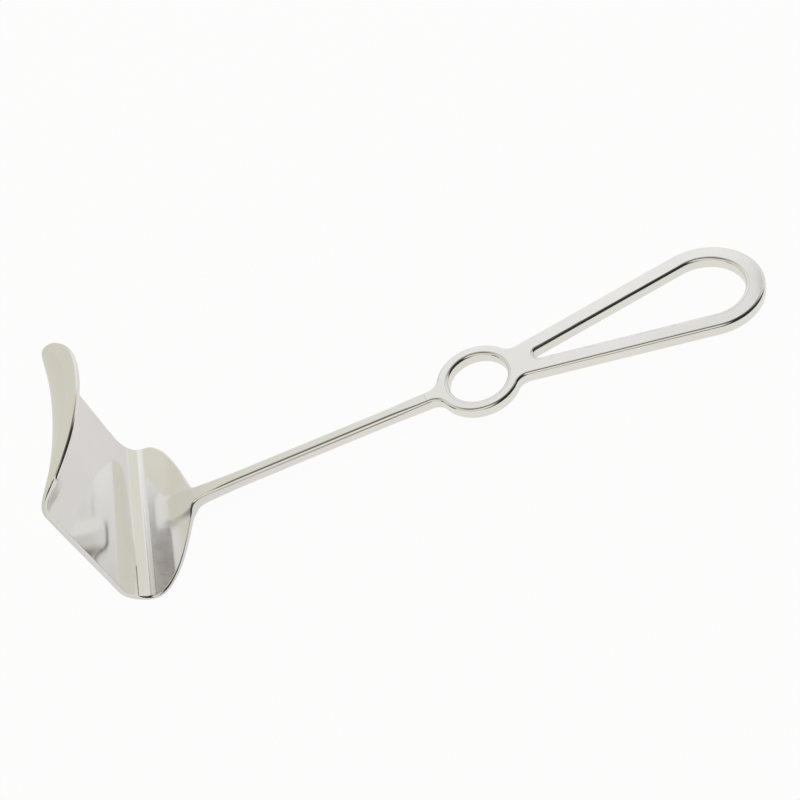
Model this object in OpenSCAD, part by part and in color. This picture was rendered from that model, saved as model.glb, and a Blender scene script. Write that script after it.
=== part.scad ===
// Handheld surgical retractor, forged in one piece: a broad blade with a curled
// lip, its neck, a slim shaft, a finger ring and an open teardrop loop.
// The origin is the centre of the finger ring, at half the handle's thickness.
// X runs along the handle towards the loop, and the blade rises in +Z.

/* [Handle] */
// Thickness of the shaft, the ring and the loop
handle_t = 4.8; // [4:0.1:6.5]
// Width of the shaft
shaft_w = 5.4; // [4.4:0.1:8]
// Rounding of the handle's long edges
edge_r = 1.1; // [0.4:0.1:1.5]
// Angle that the shaft dips by from the ring to the neck, in degrees
shaft_dip = 1.1; // [0:0.1:2]
// Radius of the corners where the shaft and the loop run into the ring
web_r = 5; // [3:0.5:8]

/* [Finger ring] */
// Radius of the finger hole
ring_bore_r = 10.8; // [9:0.1:13]
// Width of the ring's band
ring_band = 4.6; // [4:0.1:6]

/* [Loop] */
// Width of the bar that the loop is bent from
bar_w = 6.6; // [5.5:0.1:7.5]
// Radius of the loop's round end, at the middle of the bar
loop_r = 16.9; // [15:0.1:20]
// Distance from the ring's centre to the centre of the loop's round end
loop_reach = 85.8; // [70:1:95]
// Metal between the ring's edge and the window's narrow end
tip_wall = 6.1; // [3:0.1:9]
// Radius of the window's narrow end
window_tip_r = 2.2; // [1.5:0.1:3]

/* [Blade] */
// Width of the blade
blade_w = 73.7; // [72:0.5:100]
// Height of the lip's corners above the shoulders
blade_depth = 61.7; // [50:0.5:90]
// Distance from the ring's centre to the middle of the blade's flat panel
blade_reach = 138; // [110:0.5:180]
// Thickness of the blade
sheet_t = 1.8; // [1.2:0.1:2.6]
// Drop of the shoulders below the middle of the handle
shoulder_drop = 3.5; // [1:0.1:5]
// Half the width of the shoulders, where they turn up into the bend
shoulder_w = 35.1; // [20:0.1:35.6]
// Length of the shoulders, from the neck to the bend
shoulder_l = 18.4; // [14:0.2:26]
// Length of the neck that spreads from the shaft
neck_l = 6.5; // [6:0.5:12]
// Softness of the corners between the neck and the shoulders
neck_fillet = 2.7; // [1:0.1:3.2]
// Half the width of the spine that runs from the shaft into the blade
spine_w = 6.5; // [5:0.1:8]
// Run of the bend along the handle
bend_run = 7.8; // [6:0.1:14]
// Rise of the bend up the panel
bend_rise = 11.6; // [8:0.1:20]

/* [Lip] */
// Radius of the lip's curl at the middle of the blade
lip_r = 28.9; // [15:0.1:34]
// Angle that the lip turns through, in degrees
lip_angle = 69; // [50:1:95]
// Height of the lip's edge above its corners, at the middle of the blade
lip_crown = 10.1; // [4:0.1:14]
// Half the width of the lip's edge
lip_w = 31.5; // [20:0.1:35.6]
// Height of the round at each of the blade's upper corners
corner_h = 11.9; // [4:0.5:20]

/* [Hidden] */
$fn = 96;

// How fast the shoulders spread, and where the spine and the drop start and end
shoulder_power = 2.1;
spine_power = 6;
spine_start_share = 0.4;
spine_end_share = 0.9;
drop_start_share = 0.75;
drop_end_share = 0.6;
// How far the lip's curl carries on at the blade's corners, and how much of the
// corners' round lies below the lip
corner_share = 0.39;
corner_low_share = 0.28;
// How far the shaft stands proud of the plate's stub that ends in it
root_share = 0.02;
// How far the finger hole's rims stand past the ring's flat faces
hole_margin = 0.012;

// Numbers of stations along the blade, and of steps across it
neck_n = 18;
bend_n = 8;
panel_n = 5;
lip_n = 10;
rim_n = 3;
across_n = 20;
corner_n = 3;
// Steps of the rounded edges, the loop's and the ring's arcs, and the small arcs
edge_n = 3;
arc_n = 24;
ring_n = 20;
web_n = 6;

// Rounded plates, from outlines of [point, outward normal]

function heading(a) = [cos(a), sin(a)];
function flip_y(p) = [p[0], -p[1]];
// Arc round centre. way is 1 where the metal's edge bulges, -1 where it is hollow
function arc_edge(centre, r, from, to, n, way = 1) =
    [for (i = [0 : n]) let (d = heading(from + (to - from) * i / n)) [centre + r * d, way * d]];
// Leaves out a point that repeats the one before it
function distinct(edge) = [for (i = [0 : len(edge) - 1])
    if (i == 0 || norm(edge[i][0] - edge[max(i - 1, 0)][0]) > edge_r / 100) edge[i]];
// The outline's other half, mirrored and in reverse, without the points on the axis
function mirrored(half) =
    [for (i = [len(half) - 1 : -1 : 0]) if (half[i][0][1] > 0)
        [flip_y(half[i][0]), flip_y(half[i][1])]];

// A solid between two flat faces, which are made of strips across the axis.
// levels are [z, outward offset], from below
module plate(half_outline, levels) {
    outline = concat(half_outline, mirrored(half_outline));
    n = len(outline);
    top = n * (len(levels) - 1);
    strips = [for (i = [0 : len(half_outline) - 2]) [i, i + 1, n - i - 1, (n - i) % n]];
    polyhedron(
        points = [for (l = levels, e = outline)
            let (p = e[0] + e[1] * l[1]) [p[0], p[1], l[0]]],
        faces = concat(
            [for (j = [0 : n : top - 1], i = [0 : n - 1])
                let (a = j + i, b = j + (i + 1) % n) [a, a + n, b + n, b]],
            strips,
            [for (s = strips) [s[3], s[2], s[1], s[0]] + top * [1, 1, 1, 1]]),
        convexity = 6);
}

// Levels of a plate with rounded edges, and of a hole with rounded rims, which
// leaves the plate's faces at a slant
edge_z = handle_t / 2 - edge_r;
rounds = [for (i = [0 : edge_n]) let (a = 90 * i / edge_n) edge_r * [sin(a), cos(a) - 1]];
function both_ways(steps) = concat(
    [for (i = [len(steps) - 1 : -1 : 0]) [-edge_z - steps[i][0], steps[i][1]]],
    [for (s = steps) [edge_z + s[0], s[1]]]);
edge_levels = both_ways(rounds);
hole_levels = both_ways(concat(
    [for (i = [0 : edge_n - 1]) [rounds[i][0], -rounds[i][1]]],
    [[rounds[edge_n - 1][0] + edge_r / 2, edge_r / 2 - rounds[edge_n - 1][1]]]));

// Finger ring and loop

ring_r = ring_bore_r + ring_band;
loop_outer_r = loop_r + bar_w / 2;
loop_inner_r = loop_r - bar_w / 2;
// Centre of the round at the window's narrow end, and the angle that both bars
// then make with the axis
window_tip_x = ring_r + tip_wall + window_tip_r;
loop_taper = asin((loop_inner_r - window_tip_r) / (loop_reach - window_tip_x));
// Distance of the loop's straight edges from the ring's centre
flank_d = loop_outer_r - loop_reach * sin(loop_taper);

// Angle from the ring's centre to the centre of the hollow corner beside a
// straight edge at distance d
function corner_angle(d) = asin((d + web_r) / (ring_r + web_r));
loop_corner = loop_taper + corner_angle(flank_d);
shaft_corner = 180 - corner_angle(shaft_w / 2);
// Where the shaft takes over from the plate
shaft_start = edge_r - (ring_r + web_r) * cos(shaft_corner);

half_outline = distinct(concat(
    arc_edge([loop_reach, 0], loop_outer_r, 0, 90 + loop_taper, arc_n),
    arc_edge((ring_r + web_r) * heading(loop_corner), web_r,
        270 + loop_taper, 180 + loop_corner, web_n, -1),
    arc_edge([0, 0], ring_r, loop_corner, shaft_corner, ring_n),
    arc_edge((ring_r + web_r) * heading(shaft_corner), web_r,
        180 + shaft_corner, 270, web_n, -1),
    [[[-shaft_start - edge_r, shaft_w / 2], heading(90)]]));
half_window = distinct(concat(
    arc_edge([loop_reach, 0], loop_inner_r, 0, 90 + loop_taper, arc_n),
    arc_edge([window_tip_x, 0], window_tip_r, 90 + loop_taper, 180, web_n)));

// Finger hole, whose wall is straight between its rounded rims
module finger_hole() {
    rotate_extrude() difference() {
        translate([0, -handle_t]) square([ring_bore_r + edge_r, 2 * handle_t]);
        hull() for (side = [-1, 1])
            translate([ring_bore_r + edge_r, side * edge_z * (1 + hole_margin)])
                circle(r = edge_r);
    }
}

module ring_and_loop() {
    difference() {
        plate(half_outline, edge_levels);
        plate(half_window, hole_levels);
        finger_hole();
    }
}

// Blade

// Eased step from 0 to 1, larger of two values with a soft corner, and a mix
function eased(t) = let (u = max(0, min(1, t))) u * u * (3 - 2 * u);
function soft_max(a, b, f) = (a + b + sqrt((a - b) ^ 2 + 4 * f ^ 2)) / 2;
function mix(a, b, t) = a + (b - a) * t;
function unit(v) = v / norm(v);

bend_x = blade_reach - bend_run;
neck_x = bend_x - shoulder_l;
root_x = neck_x - neck_l;
shaft_half = shaft_w / 2 * (1 + root_share);
corner_z = blade_depth - shoulder_drop;
panel_z = bend_rise - shoulder_drop;
drop_x = neck_x - neck_l * drop_start_share;
drop_l = neck_l * drop_start_share + shoulder_l * drop_end_share;
spine_x = neck_x - neck_l * spine_start_share;
spine_l = neck_l * spine_start_share + shoulder_l * spine_end_share;

// How far the lip curls at y: 1 at the middle, close to 0 past its ends
function curl(y) =
    let (v = 1 - (y / lip_w) ^ 2)
    sqrt((v + sqrt(v ^ 2 + 4 * corner_share ^ 4)) / 2);
function crease_z(y) = corner_z + (lip_crown - lip_r * sin(lip_angle)) * curl(y);

// Height of the shaft's middle at distance a, carried on into the neck
function shaft_z(a) = (shaft_start - a) * tan(shaft_dip);
function neck_z(a) =
    mix(shaft_z(a), -shoulder_drop, eased((a - drop_x) / drop_l));

// The blade's middle surface. s runs 0 to 1 along the neck and the shoulders,
// to 2 round the bend, to 3 up the flat panel and to 4 along the lip
function neck_at(s) = mix(root_x, bend_x, s);
function middle(s, y) =
    s < 1 ? [-neck_at(s), y, neck_z(neck_at(s))] :
    s < 2 ? [-bend_x - bend_run * sin(90 * (s - 1)), y,
             bend_rise * (1 - cos(90 * (s - 1))) - shoulder_drop] :
    s < 3 ? [-blade_reach, y, mix(panel_z, crease_z(y), s - 2)] :
    [-blade_reach + lip_r * curl(y) * (1 - cos(lip_angle * (s - 3))), y,
     crease_z(y) + lip_r * curl(y) * sin(lip_angle * (s - 3))];

// Direction along the blade, and the blade's normal, by small steps
step_s = 0.001;
step_y = blade_w / 1000;
function along(s, y) = unit(middle(s + step_s, y) - middle(s - step_s, y));
function normal(s, y) =
    unit(cross(middle(s, y + step_y) - middle(s, y - step_y), along(s, y)));

// Half the blade's width at s. The upper corners are quarter ellipses
corner_s = 3 - corner_h / (corner_z - panel_z);
function corner_at(s) =
    s < corner_s ? 0 :
    s < 3 ? corner_low_share * (s - corner_s) / (3 - corner_s) :
    mix(corner_low_share, 1, min(s - 3, 1));
function spread(a) =
    let (t = (a - neck_x) / shoulder_l)
    shoulder_w * (t < 0 ? shoulder_power * t : 1 - (1 - min(t, 1)) ^ shoulder_power);
shoulder_end_w = soft_max(shaft_half, shoulder_w, neck_fillet);
function half_w(s) =
    s < 1 ? soft_max(shaft_half, spread(neck_at(s)), neck_fillet) :
    s < 2 ? mix(shoulder_end_w, blade_w / 2, eased(1 - cos(90 * (s - 1)))) :
    mix(lip_w, blade_w / 2, sqrt(1 - corner_at(s) ^ 2));

// The blade's thickness: a spine comes in from the shaft and fades out
function spine(s, y) =
    s < 1 ? (1 - eased((neck_at(s) - spine_x) / spine_l)) / (1 + (y / spine_w) ^ spine_power) : 0;
function thickness(s, y) = mix(sheet_t, handle_t * (1 + root_share), spine(s, y));

// One station's half section: [y, half the thickness there], its edges rounded
function section(s) =
    let (w = half_w(s), edge_t = thickness(s, w), r = min(edge_r, edge_t / 2), flat = w - r,
         arc = [for (i = [0 : corner_n - 1])
             let (a = 90 * (i + 0.5) / corner_n) [flat + r * cos(a), edge_t / 2 - r + r * sin(a)]])
    concat(
        [for (p = arc) [-p[0], p[1]]],
        [for (k = [0 : across_n])
            let (c = 2 * k / across_n - 1, y = flat * (c + sin(90 * c)) / 2) [y, thickness(s, y) / 2]],
        [for (i = [corner_n - 1 : -1 : 0]) arc[i]]);

// A ring of points: the face towards +Z or the handle, then the outer face.
// forward and share round the lip's rim
function ring_points(s, forward, share) =
    let (half = section(s))
    [for (side = [1, -1], p = half)
        middle(s, p[0]) + along(s, p[0]) * forward + normal(s, p[0]) * p[1] * side * share];

shaft_s = (shaft_start - root_x) / (bend_x - root_x);
stations = concat(
    [shaft_s],
    [for (i = [0 : neck_n - 1]) i / neck_n],
    [for (i = [0 : bend_n - 1]) 1 + i / bend_n],
    [2],
    [for (i = [0 : panel_n - 1]) mix(corner_s, 3, i / panel_n)],
    [for (i = [0 : lip_n]) 3 + i / lip_n]);
rim = [for (i = [1 : rim_n]) 90 * (i - 0.25) / rim_n];

half_count = across_n + 1 + 2 * corner_n;
row_count = len(stations) + rim_n;

function top(i, k) = i * 2 * half_count + k;
function bottom(i, k) = top(i, k) + half_count;
function quad(a, b, c, d) = [[a, b, c], [a, c, d]];
last_k = half_count - 1;
last_i = row_count - 1;

module blade() {
    points = concat(
        [for (s = stations) each ring_points(s, 0, 1)],
        [for (a = rim) each ring_points(4, sheet_t / 2 * sin(a), cos(a))]);
    faces = concat(
        [for (i = [0 : last_i - 1], k = [0 : last_k - 1])
            each quad(top(i, k), top(i + 1, k), top(i + 1, k + 1), top(i, k + 1))],
        [for (i = [0 : last_i - 1], k = [0 : last_k - 1])
            each quad(bottom(i, k), bottom(i, k + 1), bottom(i + 1, k + 1), bottom(i + 1, k))],
        [for (i = [0 : last_i - 1])
            each quad(bottom(i, 0), bottom(i + 1, 0), top(i + 1, 0), top(i, 0))],
        [for (i = [0 : last_i - 1])
            each quad(top(i, last_k), top(i + 1, last_k), bottom(i + 1, last_k), bottom(i, last_k))],
        [for (k = [0 : last_k - 1])
            each quad(bottom(0, k), top(0, k), top(0, k + 1), bottom(0, k + 1))],
        [for (k = [0 : last_k - 1])
            each quad(bottom(last_i, k), bottom(last_i, k + 1), top(last_i, k + 1), top(last_i, k))]);
    polyhedron(points = points, faces = faces, convexity = 6);
}

module retractor() {
    color("silver") {
        ring_and_loop();
        blade();
    }
}

retractor();
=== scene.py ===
import math

import bpy
import numpy as np
from mathutils import Matrix, Vector
from mathutils.geometry import tessellate_polygon


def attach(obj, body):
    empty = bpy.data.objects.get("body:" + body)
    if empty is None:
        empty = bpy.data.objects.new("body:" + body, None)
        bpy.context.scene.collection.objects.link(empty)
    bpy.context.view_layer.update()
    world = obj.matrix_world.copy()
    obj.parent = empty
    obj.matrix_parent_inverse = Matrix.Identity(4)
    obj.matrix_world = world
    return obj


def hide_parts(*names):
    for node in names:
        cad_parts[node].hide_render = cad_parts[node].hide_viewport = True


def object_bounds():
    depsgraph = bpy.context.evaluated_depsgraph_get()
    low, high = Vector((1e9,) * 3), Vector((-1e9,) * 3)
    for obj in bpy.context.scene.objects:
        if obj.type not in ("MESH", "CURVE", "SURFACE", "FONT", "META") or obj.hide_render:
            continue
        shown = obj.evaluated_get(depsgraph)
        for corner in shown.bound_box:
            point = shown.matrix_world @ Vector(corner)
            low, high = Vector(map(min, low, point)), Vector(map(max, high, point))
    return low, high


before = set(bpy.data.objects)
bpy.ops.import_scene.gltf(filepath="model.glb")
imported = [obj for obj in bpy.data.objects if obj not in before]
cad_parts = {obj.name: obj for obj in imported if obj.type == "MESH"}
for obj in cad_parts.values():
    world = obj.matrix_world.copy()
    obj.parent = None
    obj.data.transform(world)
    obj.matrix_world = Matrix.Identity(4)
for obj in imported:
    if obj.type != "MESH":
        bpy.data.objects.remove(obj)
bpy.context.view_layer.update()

MM = 0.001

# Dimensions of the retractor in mm, the same as in the part's source
handle_t = 4.8
shaft_w = 5.4
edge_r = 1.1
shaft_dip = 1.1
web_r = 5.0
ring_bore_r = 10.8
ring_band = 4.6
bar_w = 6.6
loop_r = 16.9
loop_reach = 85.8
tip_wall = 6.1
window_tip_r = 2.2
blade_w = 73.7
blade_depth = 61.7
blade_reach = 138.0
sheet_t = 1.8
shoulder_drop = 3.5
shoulder_w = 35.1
shoulder_l = 18.4
neck_l = 6.5
neck_fillet = 2.7
spine_w = 6.5
bend_run = 7.8
bend_rise = 11.6
lip_r = 28.9
lip_angle = 69.0
lip_crown = 10.1
lip_w = 31.5
corner_h = 11.9

# How fast the shoulders spread, and where the spine and the drop start and end
shoulder_power = 2.1
spine_power = 6
spine_start_share = 0.4
spine_end_share = 0.9
drop_start_share = 0.75
drop_end_share = 0.6
# How far the lip's curl carries on at the blade's corners, and how much of the
# corners' round lies below the lip
corner_share = 0.39
corner_low_share = 0.28

# The shaft's long edges are rounder than the ring's and the loop's. The larger
# rounding fades in and out over round_run_s, and starts to fade out at round_fade_s
shaft_edge_r = 1.7
round_fade_s = -0.5
round_run_s = 0.6

# Steps of the handle's rounded edges, arcs and straight edges
edge_steps = 10
loop_steps = 96
web_steps = 20
ring_steps = 80
bore_steps = 180
line_steps = 30
# Width of the outermost strip of the handle's flat faces
cap_strip = 0.12

# Steps across the blade and round its edges, and rows along each stretch of it
across_steps = 100
corner_steps = 7
shaft_rows = 40
neck_rows = 100
bend_rows = 48
panel_rows = 8
upper_rows = 20
lip_rows = 54
# Place of the shaft's last row. The neck's first is at 0
shaft_end_s = -0.02
# Angles of the rows round the lip's rim
rim_angles = (12, 24, 36, 48, 60, 72, 82)

# Small steps that the blade's directions are worked out by
step_s = 0.001
step_y = blade_w / 1000


def cosd(a):
    return np.cos(np.radians(a))


def sind(a):
    return np.sin(np.radians(a))


def mix(a, b, t):
    return a + (b - a) * t


def eased(t):
    u = np.clip(t, 0, 1)
    return u * u * (3 - 2 * u)


def soft_max(a, b, f):
    return (a + b + np.sqrt((a - b) ** 2 + 4 * f * f)) / 2


def smooth_mesh(name, points, faces):
    """An object from points in mm, smooth but for its triangles, which lie on flat faces."""
    mesh = bpy.data.meshes.new(name)
    mesh.from_pydata((np.asarray(points) * MM).tolist(), [], faces)
    mesh.validate()
    mesh.update()
    for p in mesh.polygons:
        p.use_smooth = len(p.vertices) > 3
    made = bpy.data.objects.new(name, mesh)
    bpy.context.scene.collection.objects.link(made)
    return made


ring_r = ring_bore_r + ring_band
loop_outer_r = loop_r + bar_w / 2
loop_inner_r = loop_r - bar_w / 2
window_tip_x = ring_r + tip_wall + window_tip_r
loop_taper = math.degrees(math.asin((loop_inner_r - window_tip_r) / (loop_reach - window_tip_x)))
flank_d = loop_outer_r - loop_reach * sind(loop_taper)


def corner_angle(d):
    return math.degrees(math.asin((d + web_r) / (ring_r + web_r)))


loop_corner = loop_taper + corner_angle(flank_d)
shaft_corner = 180 - corner_angle(shaft_w / 2)
shaft_start = edge_r - (ring_r + web_r) * cosd(shaft_corner)


def heading(a):
    return np.array([cosd(a), sind(a)])


def arc_edge(centre, r, start, end, n, way=1):
    """Outline points [x, y, normal x, normal y] along an arc."""
    out = []
    for i in range(n + 1):
        d = heading(start + (end - start) * i / n)
        out.append(np.concatenate([np.asarray(centre) + r * d, way * d]))
    return out


def with_mirror(half, closed_ends):
    """The whole outline from its half at +y. closed_ends says which ends lie on the axis."""
    last = len(half) - (1 if closed_ends[1] else 0)
    first = 1 if closed_ends[0] else 0
    back = [half[i] * np.array([1, -1, 1, -1]) for i in range(last - 1, first - 1, -1)]
    return np.array(list(half) + back)


def straight(a, b, n):
    """Points between the outline's points a and b, without the ends."""
    return [a + (b - a) * i / n for i in range(1, n)]


# Levels of the handle's edges, [z, outward offset], from below
edge_z = handle_t / 2 - edge_r
edge_angles = [90 * i / edge_steps for i in range(edge_steps + 1)]
rounds = [(edge_r * sind(a), edge_r * (cosd(a) - 1)) for a in edge_angles]
rounds.append((edge_r, -edge_r - cap_strip))
levels = [(-edge_z - z, o) for z, o in reversed(rounds)] + [(edge_z + z, o) for z, o in rounds]


def level_faces(outline, base=0, skip=None):
    """Quads between the levels of an outline, apart from the edge called skip."""
    n = len(outline)
    faces = []
    for j in range(len(levels) - 1):
        for i in range(n):
            if i == skip:
                continue
            k = (i + 1) % n
            a, b = base + j * n + i, base + j * n + k
            faces.append((a, b, b + n, a + n))
    return faces


def level_points(outline):
    """The outline's points at each level."""
    pts = []
    for z, o in levels:
        xy = outline[:, :2] + outline[:, 2:] * o
        pts.append(np.column_stack([xy, np.full(len(outline), z)]))
    return np.vstack(pts)


def handle_outline():
    """Half the outline of the loop, the ring and the shaft's stub, at +y."""
    end_arc = arc_edge([loop_reach, 0], loop_outer_r, 0, 90 + loop_taper, loop_steps)
    loop_web = arc_edge((ring_r + web_r) * heading(loop_corner), web_r,
                        270 + loop_taper, 180 + loop_corner, web_steps, -1)
    ring = arc_edge([0, 0], ring_r, loop_corner, shaft_corner, ring_steps)
    shaft_web = arc_edge((ring_r + web_r) * heading(shaft_corner), web_r,
                         180 + shaft_corner, 270, web_steps, -1)
    stub = [np.array([-shaft_start, shaft_w / 2, 0, 1])]
    bar = straight(end_arc[-1], loop_web[0], line_steps)
    return end_arc + bar + loop_web + ring[1:-1] + shaft_web + stub


def window_outline():
    """Half the outline of the loop's window, at +y."""
    end_arc = arc_edge([loop_reach, 0], loop_inner_r, 0, 90 + loop_taper, loop_steps, -1)
    tip_arc = arc_edge([window_tip_x, 0], window_tip_r, 90 + loop_taper, 180, web_steps, -1)
    return end_arc + straight(end_arc[-1], tip_arc[0], line_steps) + tip_arc


def make_handle():
    """Points and faces of the ring and the loop, open where the shaft goes on."""
    half = handle_outline()
    outline = with_mirror(half, (True, False))
    window = with_mirror(window_outline(), (True, True))
    bore = np.array(arc_edge([0, 0], ring_bore_r, 0, 360, bore_steps, -1)[:-1])
    pts = [level_points(outline)]
    faces = level_faces(outline, skip=len(half) - 1)
    bases = [0]
    for loop in (window, bore):
        base = sum(len(p) for p in pts)
        bases.append(base)
        pts.append(level_points(loop))
        faces += level_faces(loop, base)
    points = np.vstack(pts)
    for level in (0, len(levels) - 1):
        loops = []
        for base, loop in zip(bases, (outline, window, bore)):
            start = base + level * len(loop)
            loops.append([start + i for i in range(len(loop))])
        faces += flat_face(points, loops)
    return points, faces


def flat_face(points, loops):
    """Triangles of a flat face with holes, from its loops of point numbers."""
    order = [i for loop in loops for i in loop]
    tris = tessellate_polygon([[Vector(points[i]) for i in loop] for loop in loops])
    return [tuple(order[i] for i in t) for t in tris]


bend_x = blade_reach - bend_run
neck_x = bend_x - shoulder_l
root_x = neck_x - neck_l
corner_z = blade_depth - shoulder_drop
panel_z = bend_rise - shoulder_drop
drop_x = neck_x - neck_l * drop_start_share
drop_l = neck_l * drop_start_share + shoulder_l * drop_end_share
spine_x = neck_x - neck_l * spine_start_share
spine_l = neck_l * spine_start_share + shoulder_l * spine_end_share
shoulder_end_w = soft_max(shaft_w / 2, shoulder_w, neck_fillet)
corner_s = 3 - corner_h / (corner_z - panel_z)
shaft_s = (shaft_start - root_x) / (bend_x - root_x)


def curl(y):
    """How far the lip curls at y: 1 at the middle, close to 0 past its ends."""
    v = 1 - (y / lip_w) ** 2
    return np.sqrt((v + np.sqrt(v ** 2 + 4 * corner_share ** 4)) / 2)


def crease_z(y):
    return corner_z + (lip_crown - lip_r * sind(lip_angle)) * curl(y)


def neck_z(a):
    shaft_z = (shaft_start - a) * math.tan(math.radians(shaft_dip))
    return mix(shaft_z, -shoulder_drop, eased((a - drop_x) / drop_l))


def neck_at(s):
    return mix(root_x, bend_x, s)


def middle(s, y):
    """Middle surface of the blade. s runs below 0 along the shaft, to 1 along the neck
    and the shoulders, to 2 round the bend, to 3 up the panel and to 4 along the lip."""
    y = np.asarray(y, float)
    if s < 1:
        a = neck_at(s)
        x, z = -a + 0 * y, neck_z(a) + 0 * y
    elif s < 2:
        x = -bend_x - bend_run * sind(90 * (s - 1)) + 0 * y
        z = bend_rise * (1 - cosd(90 * (s - 1))) - shoulder_drop + 0 * y
    elif s < 3:
        x, z = -blade_reach + 0 * y, mix(panel_z, crease_z(y), s - 2)
    else:
        c = curl(y)
        x = -blade_reach + lip_r * c * (1 - cosd(lip_angle * (s - 3)))
        z = crease_z(y) + lip_r * c * sind(lip_angle * (s - 3))
    return np.stack([x, y, z], -1)


def unit(v):
    return v / np.linalg.norm(v, axis=-1, keepdims=True)


def along(s, y):
    return unit(middle(s + step_s, y) - middle(s - step_s, y))


def normal(s, y):
    return unit(np.cross(middle(s, y + step_y) - middle(s, y - step_y), along(s, y)))


def corner_at(s):
    if s < corner_s:
        return 0
    if s < 3:
        return corner_low_share * (s - corner_s) / (3 - corner_s)
    return mix(corner_low_share, 1, min(s - 3, 1))


def spread(a):
    t = (a - neck_x) / shoulder_l
    return shoulder_w * (shoulder_power * t if t < 0 else 1 - (1 - min(t, 1)) ** shoulder_power)


def half_w(s):
    if s < 1:
        return soft_max(shaft_w / 2, spread(neck_at(s)), neck_fillet)
    if s < 2:
        return mix(shoulder_end_w, blade_w / 2, eased(1 - cosd(90 * (s - 1))))
    return mix(lip_w, blade_w / 2, math.sqrt(1 - corner_at(s) ** 2))


def spine(s, y):
    if s >= 1:
        return 0 * y
    return (1 - eased((neck_at(s) - spine_x) / spine_l)) / (1 + (y / spine_w) ** spine_power)


def thickness(s, y):
    return mix(sheet_t, handle_t, spine(s, np.asarray(y, float)))


def round_share(s):
    """How much of the shaft's own, larger rounding the section at s has."""
    return eased((s - shaft_s) / round_run_s) * (1 - eased((s - round_fade_s) / round_run_s))


def section(s):
    """Half section [y, half the thickness] at s, with rounded edges."""
    w = half_w(s)
    edge_t = float(thickness(s, w))
    r = min(mix(edge_r, shaft_edge_r, round_share(s)), edge_t / 2)
    flat = w - r
    a = np.array([90 * i / corner_steps for i in range(corner_steps)])
    arc = np.stack([flat + r * cosd(a), edge_t / 2 - r + r * sind(a)], -1)
    c = 2 * np.arange(across_steps + 1) / across_steps - 1
    y = flat * (c + sind(90 * c)) / 2
    flat_part = np.stack([y, thickness(s, y) / 2], -1)
    left = arc * np.array([-1, 1])
    return np.vstack([left, flat_part, arc[::-1]])


def ring_row(s, forward, share):
    """Points round the section at s. forward and share draw it in round the lip's rim."""
    half = section(s)
    y, t = half[:, 0], half[:, 1]
    mid, al, no = middle(s, y), along(s, y), normal(s, y)
    sides = [mid + al * forward + no * (t * side * share)[:, None] for side in (1, -1)]
    return np.vstack([sides[0], sides[1][::-1]])


def make_blade():
    """Points and faces of the shaft and the blade."""
    shaft = [mix(shaft_s, shaft_end_s, i / shaft_rows) for i in range(shaft_rows)]
    neck = [i / neck_rows for i in range(neck_rows)]
    bend = [1 + i / bend_rows for i in range(bend_rows)]
    panel = [2 + (corner_s - 2) * i / panel_rows for i in range(panel_rows)]
    upper = [mix(corner_s, 3, i / upper_rows) for i in range(upper_rows)]
    lip = [3 + i / lip_rows for i in range(lip_rows + 1)]
    rows = [ring_row(s, 0, 1) for s in shaft + neck + bend + panel + upper + lip]
    rows += [ring_row(4, sheet_t / 2 * sind(a), cosd(a)) for a in rim_angles]
    n = len(rows[0])
    points = np.vstack(rows)
    faces = []
    for i in range(len(rows) - 1):
        for k in range(n):
            a, b = i * n + k, i * n + (k + 1) % n
            faces.append((a, a + n, b + n, b))
    base = (len(rows) - 1) * n
    for k in range(n // 2 - 1):
        faces.append((base + k, base + n - 1 - k, base + n - 2 - k, base + k + 1))
    return points, faces


handle_points, handle_faces = make_handle()
blade_points, blade_faces = make_blade()
count = len(handle_points)
steel_body = smooth_mesh(
    "retractor_body",
    np.vstack([handle_points, blade_points]),
    handle_faces + [tuple(i + count for i in f) for f in blade_faces])

# Joins the points that lie on each other
merge = steel_body.modifiers.new("merge", "WELD")
merge.merge_threshold = 0.01 * MM
bpy.context.view_layer.objects.active = steel_body
with bpy.context.temp_override(object=steel_body, active_object=steel_body):
    bpy.ops.object.modifier_apply(modifier="merge")

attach(steel_body, "root")
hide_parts("retractor")


# Sockets of a colour mix: factor, first colour, second colour, and the result
MIX_INPUTS = (0, 6, 7)
MIX_RESULT = 2
# Space between nodes in the editor
NODE_GAP = 200
WHITE = (1.0, 1.0, 1.0)


def node(tree, kind, sockets=None, **settings):
    """A new node with its settings, and with plain values in some of its inputs."""
    made = tree.nodes.new(kind)
    made.location = (NODE_GAP * len(tree.nodes), 0)
    for key, value in settings.items():
        setattr(made, key, value)
    for key, value in (sockets or {}).items():
        made.inputs[key].default_value = value
    return made


def feed(tree, slot, value):
    """Gives an input another node's output, a number or an opaque colour."""
    if isinstance(value, bpy.types.NodeSocket):
        tree.links.new(value, slot)
    elif isinstance(value, tuple):
        slot.default_value = (*value, 1)
    else:
        slot.default_value = value


def maths(tree, operation, first, second):
    made = node(tree, "ShaderNodeMath", operation=operation)
    feed(tree, made.inputs[0], first)
    feed(tree, made.inputs[1], second)
    return made.outputs["Value"]


def blend(tree, first, second, factor):
    """A colour from first to second, as factor goes from 0 to 1."""
    made = node(tree, "ShaderNodeMix", data_type="RGBA")
    for slot, value in zip(MIX_INPUTS, (factor, first, second)):
        feed(tree, made.inputs[slot], value)
    return made.outputs[MIX_RESULT]


def ramp(tree, value, stops):
    """A colour from stops, each of which is (place, colour)."""
    made = node(tree, "ShaderNodeValToRGB")
    tree.links.new(value, made.inputs["Fac"])
    elements = made.color_ramp.elements
    for element, (place, colour) in zip(elements, (stops[0], stops[-1])):
        element.position = place
        element.color = (*colour, 1)
    for place, colour in stops[1:-1]:
        elements.new(place).color = (*colour, 1)
    return made.outputs["Color"]


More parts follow.
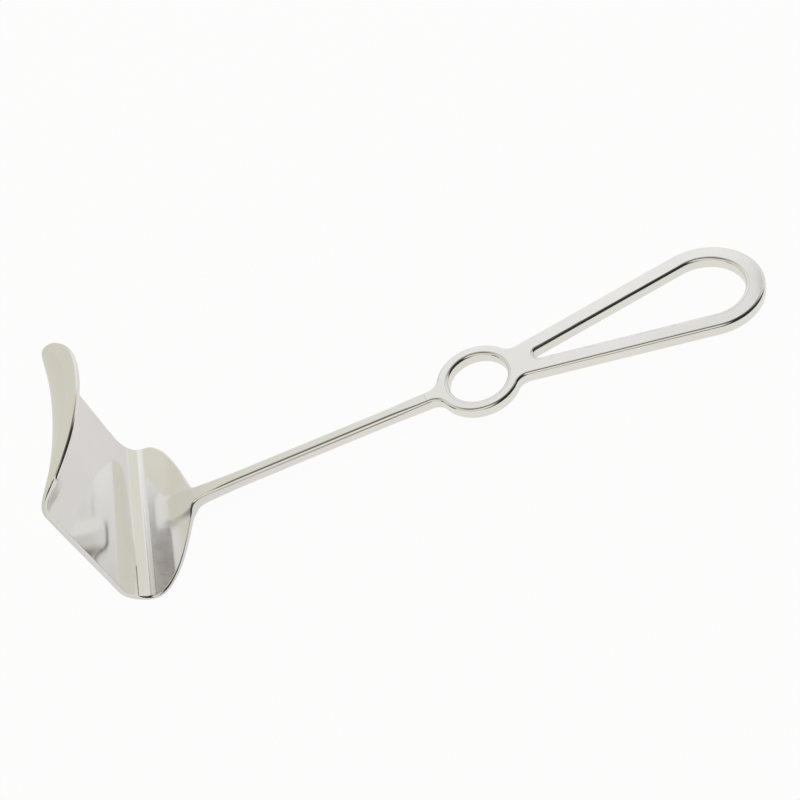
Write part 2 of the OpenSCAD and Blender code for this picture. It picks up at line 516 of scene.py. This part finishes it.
def span(tree, value, sockets, **settings):
    """Maps value from the span given in sockets to another, 0 to 1 unless given."""
    made = node(tree, "ShaderNodeMapRange", sockets, **settings)
    tree.links.new(value, made.inputs["Value"])
    return made.outputs["Result"]


def noise(tree, vector, scale, detail):
    made = node(tree, "ShaderNodeTexNoise", {"Scale": scale, "Detail": detail})
    tree.links.new(vector, made.inputs["Vector"])
    return made.outputs["Fac"]


def bump(tree, height, strength, distance):
    made = node(tree, "ShaderNodeBump", {"Strength": strength, "Distance": distance})
    tree.links.new(height, made.inputs["Height"])
    return made


# Tones of the steel, and the roughness that its polish varies between
steel_tones = ((0.3, (0.84, 0.835, 0.815)), (0.7, (0.88, 0.875, 0.86)))
smoothest = 0.05
roughest = 0.11
# How far the buffing's hairlines are stretched along the handle
hair_scale = (60, 2200, 2200)


def polished_steel():
    mat = bpy.data.materials.new("polished_steel")
    mat.use_nodes = True
    tree = mat.node_tree
    link = tree.links.new
    bsdf = tree.nodes["Principled BSDF"]
    bsdf.inputs["Metallic"].default_value = 1.0
    place = node(tree, "ShaderNodeTexCoord").outputs["Object"]
    # Warm steel whose tone drifts a little from place to place
    drift = noise(tree, place, scale=28, detail=3)
    link(ramp(tree, drift, steel_tones), bsdf.inputs["Base Color"])
    # Buffing: fine clouds of roughness, faint hairlines and a slow unevenness
    haze = noise(tree, place, scale=180, detail=6)
    rough = span(tree, haze, {"To Min": smoothest, "To Max": roughest})
    link(rough, bsdf.inputs["Roughness"])
    stretch = node(tree, "ShaderNodeMapping", {"Scale": hair_scale})
    link(place, stretch.inputs["Vector"])
    hair = noise(tree, stretch.outputs["Vector"], scale=1, detail=2)
    wave = noise(tree, place, scale=70, detail=2)
    fine = bump(tree, hair, strength=0.03, distance=0.00003)
    broad = bump(tree, wave, strength=0.12, distance=0.0002)
    link(fine.outputs["Normal"], broad.inputs["Normal"])
    link(broad.outputs["Normal"], bsdf.inputs["Normal"])
    return mat


steel = polished_steel()
steel_body.data.materials.append(steel)
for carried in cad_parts.values():
    for slot in carried.material_slots:
        slot.material = steel


floor_size = 6
# The floor lies just under the retractor
floor_gap = 0.0002
floor_white = (0.9, 0.9, 0.9, 1)
floor_roughness = 0.9
# Share of the floor's light that is its own. The rest shows the shadow
floor_glow = 0.95
# Painted falloff of the floor's light, seen only in the steel's reflections: the floor's glow
# there is darker than the camera's white, and darkest and olive grey towards -X, between two
# places on X
floor_falloff_span = {"From Min": -0.24, "From Max": -0.04}
floor_falloff_tones = (
    (0.12, (0.70, 0.68, 0.60)), (0.4, (0.77, 0.75, 0.745)), (0.62, (0.77, 0.75, 0.745)),
    (0.95, (0.84, 0.83, 0.78)))


def paper():
    """White for the camera. In the steel's reflections its glow carries a painted falloff of
    light, darker towards -X. It keeps some shadow.
    """
    mat = bpy.data.materials.new("floor_paper")
    mat.use_nodes = True
    tree = mat.node_tree
    link = tree.links.new
    bsdf = tree.nodes["Principled BSDF"]
    bsdf.inputs["Base Color"].default_value = floor_white
    bsdf.inputs["Roughness"].default_value = floor_roughness
    rays = node(tree, "ShaderNodeLightPath")
    to_camera = rays.outputs["Is Camera Ray"]
    seen = maths(tree, "MAXIMUM", to_camera, rays.outputs["Is Glossy Ray"])
    place = node(tree, "ShaderNodeTexCoord")
    split = node(tree, "ShaderNodeSeparateXYZ")
    link(place.outputs["Object"], split.inputs[0])
    # Painted falloff of light: the floor's glow in reflections darkens towards -X
    toned = ramp(tree, span(tree, split.outputs["X"], floor_falloff_span), floor_falloff_tones)
    glow = node(tree, "ShaderNodeEmission")
    link(blend(tree, toned, WHITE, to_camera), glow.inputs["Color"])
    mixed = node(tree, "ShaderNodeMixShader")
    link(maths(tree, "MULTIPLY", seen, floor_glow), mixed.inputs[0])
    link(bsdf.outputs[0], mixed.inputs[1])
    link(glow.outputs[0], mixed.inputs[2])
    link(mixed.outputs[0], tree.nodes["Material Output"].inputs["Surface"])
    return mat


def make_floor():
    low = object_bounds()[0].z
    bpy.ops.mesh.primitive_plane_add(size=floor_size, location=(0, 0, low - floor_gap))
    floor = bpy.context.object
    floor.name = "floor"
    floor.data.materials.append(paper())


make_floor()

# Tones of the room in the steel's reflections, along an arc over it: 0 is the far
# floor, 0.5 straight up and 1 the floor behind the camera
room_tones = (
    (0.0, (0.9, 0.89, 0.86)), (0.249, (0.93, 0.93, 0.92)), (0.273, (0.84, 0.84, 0.84)),
    (0.283, (0.72, 0.71, 0.69)), (0.295, (0.61, 0.59, 0.56)), (0.317, (0.52, 0.5, 0.46)),
    (0.345, (0.38, 0.36, 0.32)), (0.39, (0.24, 0.22, 0.19)), (0.55, (0.12, 0.1, 0.08)),
    (0.6, (0.85, 0.84, 0.78)), (0.8, (0.95, 0.93, 0.86)), (0.84, (0.05, 0.04, 0.025)),
    (0.97, (0.04, 0.035, 0.02)), (1.0, (0.3, 0.28, 0.25)))
# Parts of the room with a tone of their own, one over the other. Each is bounded by
# parts of a direction, or its place on the arc, and goes from none to full between
# the two values
room_parts = (
    ((0.78, 0.76, 0.7), (("Z", 0.85, 0.65), ("X", 0.36, 0.5))),
    ((0.22, 0.19, 0.18), (("X", 0.283, 0.292), ("X", 0.326, 0.314), ("arc", 0.25, 0.275))),
    ((0.71, 0.69, 0.61), (("Z", 0.92, 0.8), ("X", 0.1, -0.4))),
    ((0.03, 0.03, 0.03), (("Y", 0.3, 0.0), ("X", 0.0, 0.35))))


def make_world():
    """A studio that is white for the camera. The steel reflects the room's tones."""
    world = bpy.data.worlds.new("studio")
    bpy.context.scene.world = world
    world.use_nodes = True
    tree = world.node_tree
    link = tree.links.new
    coord = node(tree, "ShaderNodeTexCoord")
    split = node(tree, "ShaderNodeSeparateXYZ")
    link(coord.outputs["Generated"], split.inputs[0])
    measures = {axis: split.outputs[axis] for axis in "XYZ"}
    turn = maths(tree, "ARCTAN2", measures["Z"], measures["Y"])
    measures["arc"] = maths(tree, "DIVIDE", turn, math.pi)
    room = ramp(tree, measures["arc"], room_tones)
    for tone, limits in room_parts:
        share = None
        for measure, start, end in limits:
            part = span(tree, measures[measure], {"From Min": start, "From Max": end},
                        interpolation_type="SMOOTHSTEP")
            share = maths(tree, "MULTIPLY", share, part) if share else part
        room = blend(tree, room, tone, share)
    rays = node(tree, "ShaderNodeLightPath")
    back = tree.nodes["Background"]
    link(blend(tree, room, WHITE, rays.outputs["Is Camera Ray"]), back.inputs["Color"])
    back.inputs["Strength"].default_value = 1.0


make_world()


def area_light(name, at, towards, size, power):
    """A lamp that lights the scene and isn't seen in the steel."""
    data = bpy.data.lights.new(name, "AREA")
    data.shape = "RECTANGLE"
    data.size, data.size_y = size
    data.energy = power
    made = bpy.data.objects.new(name, data)
    made.location = at
    made.rotation_mode = "QUATERNION"
    made.rotation_quaternion = (Vector(towards) - Vector(at)).to_track_quat("-Z", "Y")
    made.visible_glossy = False
    bpy.context.scene.collection.objects.link(made)


area_light("key", at=(0.1, 0.6, 1.3), towards=(0, 0, 0), size=(1.2, 1.2), power=4)

# Camera at the photograph's view: its place in metres, its turns in degrees, and
# its lens and sensor in mm
camera_place = (-0.007679, -0.256825, 0.276732)
camera_turns = (("Y", 4.4065), ("X", 43.4026), ("Z", -18.687))
camera_lens = 47.4
camera_sensor = 36
camera_near = 0.01


def make_camera():
    data = bpy.data.cameras.new("camera")
    data.sensor_width = camera_sensor
    data.lens = camera_lens
    data.clip_start = camera_near
    camera = bpy.data.objects.new("camera", data)
    bpy.context.scene.collection.objects.link(camera)
    turn = Matrix.Identity(3)
    for axis, angle in camera_turns:
        turn = turn @ Matrix.Rotation(math.radians(angle), 3, axis)
    camera.matrix_world = Matrix.Translation(camera_place) @ turn.to_4x4()
    bpy.context.scene.camera = camera


make_camera()

bpy.context.scene.view_settings.view_transform = "Standard"
